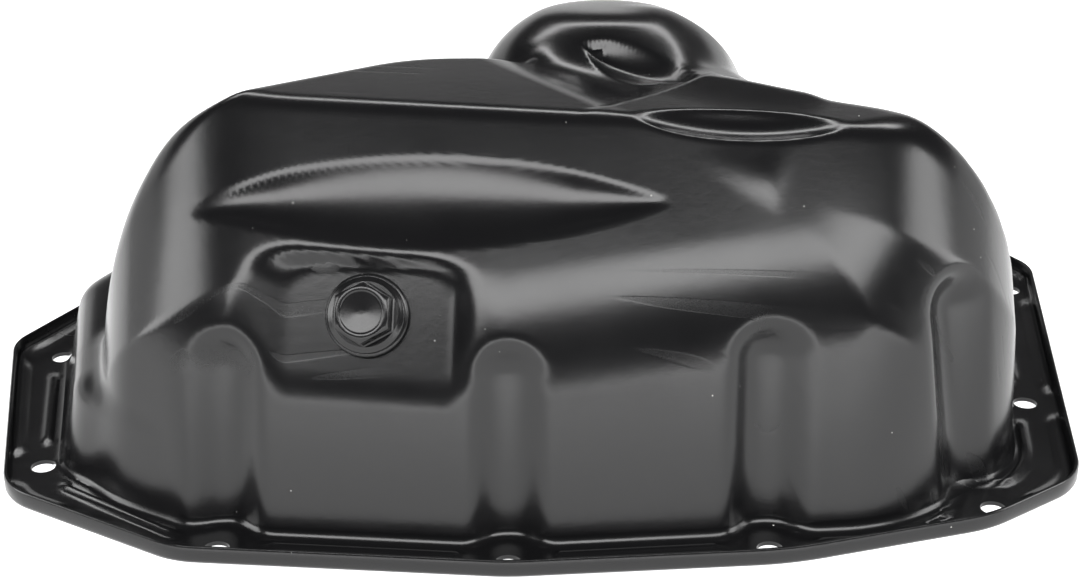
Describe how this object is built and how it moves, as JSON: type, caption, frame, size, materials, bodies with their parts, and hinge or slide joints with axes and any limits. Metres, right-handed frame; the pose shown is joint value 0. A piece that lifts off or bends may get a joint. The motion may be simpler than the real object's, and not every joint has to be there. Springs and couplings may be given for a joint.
{
  "type": "engine oil pan",
  "caption": "Black painted sheet steel engine oil pan with a sealing flange, deep front sump, rear hump and a drain plug on a flat pad.",
  "frame": {"origin": "centre of the flange's outline on the sealing plane", "axes": "+Z from the sealing plane up to the sump's bottom (the pan lies flange down), +X along its length to the right as seen facing the drain plug, the plug side faces -Y"},
  "size_m": [0.3361, 0.2267, 0.113],
  "materials": {
    "painted_sheet": "satin gloss black",
    "painted_nut": "satin gloss black",
    "painted_gasket": "satin black",
    "painted_plug": "satin black"
  },
  "bodies": {
    "pan": {"oil_pan": "painted_sheet", "drain_nut": "painted_nut"},
    "gasket": {"plug_gasket": "painted_gasket"},
    "plug": {"drain_plug": "painted_plug"}
  },
  "joints": [
    {"name": "plug_travel", "type": "slide", "parent": "pan", "child": "gasket", "axis": [-0.0683, -0.8677, 0.4924], "range_m": [0, 0.016]},
    {"name": "plug_turn", "type": "hinge", "parent": "gasket", "child": "plug", "pos_m": [-0.0464, -0.0796, 0.0589], "axis": [-0.0683, -0.8677, 0.4924], "range_deg": [0, 4610]}
  ],
  "couplings": [
    {"joint": "plug_turn", "follows": "plug_travel", "rad_per_m": 5026.5}
  ]
}
